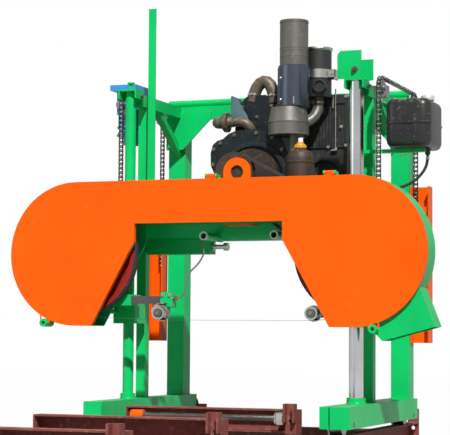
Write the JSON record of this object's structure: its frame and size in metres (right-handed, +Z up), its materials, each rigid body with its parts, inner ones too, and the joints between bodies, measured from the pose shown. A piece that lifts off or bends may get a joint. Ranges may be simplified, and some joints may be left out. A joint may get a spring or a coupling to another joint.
{
  "type": "portable band sawmill",
  "caption": "Portable band sawmill: an engine-driven band saw head that rises on a rolling portal and travels along a track that holds the log.",
  "frame": {"origin": "on the floor, midway along the track and midway between the outermost left and right points", "axes": "+X to the right as seen from the log end of the track, +Y along the track away from that viewer, +Z up"},
  "size_m": [1.831, 3.02, 1.957],
  "materials": {
    "track_red": "dull oxide-red paint",
    "green": "bright green powder coat",
    "orange": "bright orange powder coat",
    "blue": "light blue machine paint",
    "polished": "ground and polished shaft",
    "steel": "bare turned steel",
    "chain_steel": "oiled dark steel",
    "zinc": "bright zinc plate",
    "engine_grey": "dark grey-green engine paint",
    "exhaust": "heat-browned steel",
    "black_plastic": "moulded black plastic",
    "black_paint": "worn black paint",
    "rubber": "black rubber",
    "tyre": "band wheel tyre",
    "hose": "hose rubber",
    "band": "blue-grey spring steel"
  },
  "bodies": {
    "track": {"rails": "track_red", "screw_feet": "zinc", "track_ties": "track_red", "log_bunks": "track_red", "log_stops": "track_red"},
    "log_clamp": {"clamp_screw": "steel"},
    "portal": {"trolley_beams": "green", "roller_axles": "zinc", "column_left": "green", "column_right": "polished", "portal_posts": "green", "rear_posts": "green", "top_beam": "green", "top_frame": "green", "column_tops": "green", "cap_bolts": "green", "gear_motor": "blue", "shaft_carriers": "steel", "chain_left": "chain_steel", "chain_right": "chain_steel"},
    "roller_left_front": {"track_roller_left_front": "steel"},
    "roller_left_rear": {"track_roller_left_rear": "steel"},
    "roller_right_front": {"track_roller_right_front": "steel"},
    "roller_right_rear": {"track_roller_right_rear": "steel"},
    "front_sprocket_left": {"sprocket_left": "steel"},
    "front_sprocket_right": {"sprocket_right": "steel"},
    "rear_lift_shaft": {"lift_shaft": "steel"},
    "weight_left": {"counterweight_left": "orange"},
    "weight_right": {"counterweight_right": "orange"},
    "head": {"head_spine": "green", "sleeves_and_shelf": "green", "wheel_housing": "green", "sawdust_chute": "green", "cover_fittings": "green", "guides_and_sockets": "green", "lifting_eye": "orange", "mast": "green", "engine_block": "engine_grey", "engine_top": "engine_grey", "radiator": "engine_grey", "muffler": "exhaust", "air_cleaner": "black_plastic", "fuel_tank": "black_paint", "fuel_hose": "hose", "saw_band": "band", "drive_belt": "rubber"},
    "cover": {"front_cover": "orange"},
    "right_wheel": {"band_wheel_right": "orange", "wheel_tyre_right": "tyre", "driven_pulley": "steel"},
    "left_wheel": {"band_wheel_left": "orange", "wheel_tyre_left": "tyre"},
    "crank": {"engine_pulley": "exhaust"},
    "tensioner": {"tension_slide": "green"},
    "tension_bolt": {"tension_screw": "zinc"},
    "arm": {"guide_arm": "steel", "lube_hose": "hose"},
    "left_guide": {"guide_roller_left": "steel"},
    "right_guide": {"guide_roller_right": "steel"},
    "fuel_cap": {"tank_cap": "black_plastic"}
  },
  "joints": [
    {"name": "portal_roll", "type": "slide", "parent": "track", "child": "portal", "axis": [0, 1, 0], "range_m": [-1.7, 0.03]},
    {"name": "clamp_turn", "type": "hinge", "parent": "track", "child": "log_clamp", "pos_m": [0.1, 0.411, 0.228], "axis": [1, 0, 0], "continuous": true},
    {"name": "head_lift", "type": "slide", "parent": "portal", "child": "head", "axis": [0, 0, 1], "range_m": [-0.285, 0.21]},
    {"name": "weight_left_travel", "type": "slide", "parent": "portal", "child": "weight_left", "axis": [0, 0, 1], "range_m": [-0.21, 0.285]},
    {"name": "weight_right_travel", "type": "slide", "parent": "portal", "child": "weight_right", "axis": [0, 0, 1], "range_m": [-0.21, 0.285]},
    {"name": "sprocket_left_turn", "type": "hinge", "parent": "portal", "child": "front_sprocket_left", "pos_m": [-0.55, 0.8578, 1.56], "axis": [1, 0, 0], "continuous": true},
    {"name": "sprocket_right_turn", "type": "hinge", "parent": "portal", "child": "front_sprocket_right", "pos_m": [0.652, 0.7228, 1.56], "axis": [1, 0, 0], "continuous": true},
    {"name": "lift_shaft_turn", "type": "hinge", "parent": "portal", "child": "rear_lift_shaft", "pos_m": [0.05, 1.2322, 1.56], "axis": [1, 0, 0], "continuous": true},
    {"name": "band_wheel_turn", "type": "hinge", "parent": "head", "child": "right_wheel", "pos_m": [0.603, 0.54, 0.886], "axis": [0, 1, 0], "continuous": true},
    {"name": "tension_travel", "type": "slide", "parent": "head", "child": "tensioner", "axis": [1, 0, 0], "range_m": [0, 0.02]},
    {"name": "left_wheel_turn", "type": "hinge", "parent": "tensioner", "child": "left_wheel", "pos_m": [-0.603, 0.54, 0.886], "axis": [0, 1, 0], "continuous": true},
    {"name": "tension_bolt_turn", "type": "hinge", "parent": "head", "child": "tension_bolt", "pos_m": [-0.1, 0.774, 0.923], "axis": [1, 0, 0], "range_deg": [0, 1440]},
    {"name": "crank_turn", "type": "hinge", "parent": "head", "child": "crank", "pos_m": [0.05, 0.68, 1.224], "axis": [0, 1, 0], "continuous": true},
    {"name": "guide_arm_travel", "type": "slide", "parent": "head", "child": "arm", "axis": [1, 0, 0], "range_m": [0, 0.25]},
    {"name": "left_guide_turn", "type": "hinge", "parent": "arm", "child": "left_guide", "pos_m": [-0.237, 0.53, 0.64], "axis": [0, 1, 0], "continuous": true},
    {"name": "right_guide_turn", "type": "hinge", "parent": "head", "child": "right_guide", "pos_m": [0.422, 0.53, 0.64], "axis": [0, 1, 0], "continuous": true},
    {"name": "cover_swing", "type": "hinge", "parent": "head", "child": "cover", "pos_m": [0.25, 0.492, 1.197], "axis": [-1, 0, 0], "range_deg": [0, 100]},
    {"name": "tank_cap_turn", "type": "hinge", "parent": "head", "child": "fuel_cap", "pos_m": [0.822, 0.81, 1.521], "axis": [0, 0, 1], "range_deg": [0, 90]},
    {"name": "roller_left_front_turn", "type": "hinge", "parent": "portal", "child": "roller_left_front", "pos_m": [-0.438, 0.382, 0.212], "axis": [1, 0, 0], "continuous": true},
    {"name": "roller_left_rear_turn", "type": "hinge", "parent": "portal", "child": "roller_left_rear", "pos_m": [-0.438, 1.283, 0.212], "axis": [1, 0, 0], "continuous": true},
    {"name": "roller_right_front_turn", "type": "hinge", "parent": "portal", "child": "roller_right_front", "pos_m": [0.58, 0.382, 0.212], "axis": [1, 0, 0], "continuous": true},
    {"name": "roller_right_rear_turn", "type": "hinge", "parent": "portal", "child": "roller_right_rear", "pos_m": [0.58, 1.283, 0.212], "axis": [1, 0, 0], "continuous": true}
  ],
  "couplings": [
    {"joint": "weight_left_travel", "follows": "head_lift", "ratio": -1},
    {"joint": "weight_right_travel", "follows": "head_lift", "ratio": -1},
    {"joint": "sprocket_left_turn", "follows": "head_lift", "rad_per_m": -23.362},
    {"joint": "sprocket_right_turn", "follows": "head_lift", "rad_per_m": -23.362},
    {"joint": "lift_shaft_turn", "follows": "head_lift", "rad_per_m": -23.362},
    {"joint": "left_wheel_turn", "follows": "band_wheel_turn", "ratio": 1},
    {"joint": "crank_turn", "follows": "band_wheel_turn", "ratio": 1.5},
    {"joint": "left_guide_turn", "follows": "band_wheel_turn", "ratio": 9.49},
    {"joint": "right_guide_turn", "follows": "band_wheel_turn", "ratio": 9.49},
    {"joint": "tension_bolt_turn", "follows": "tension_travel", "rad_per_m": 1256.6},
    {"joint": "roller_left_front_turn", "follows": "portal_roll", "rad_per_m": -23.81},
    {"joint": "roller_left_rear_turn", "follows": "portal_roll", "rad_per_m": -23.81},
    {"joint": "roller_right_front_turn", "follows": "portal_roll", "rad_per_m": -23.81},
    {"joint": "roller_right_rear_turn", "follows": "portal_roll", "rad_per_m": -23.81}
  ]
}
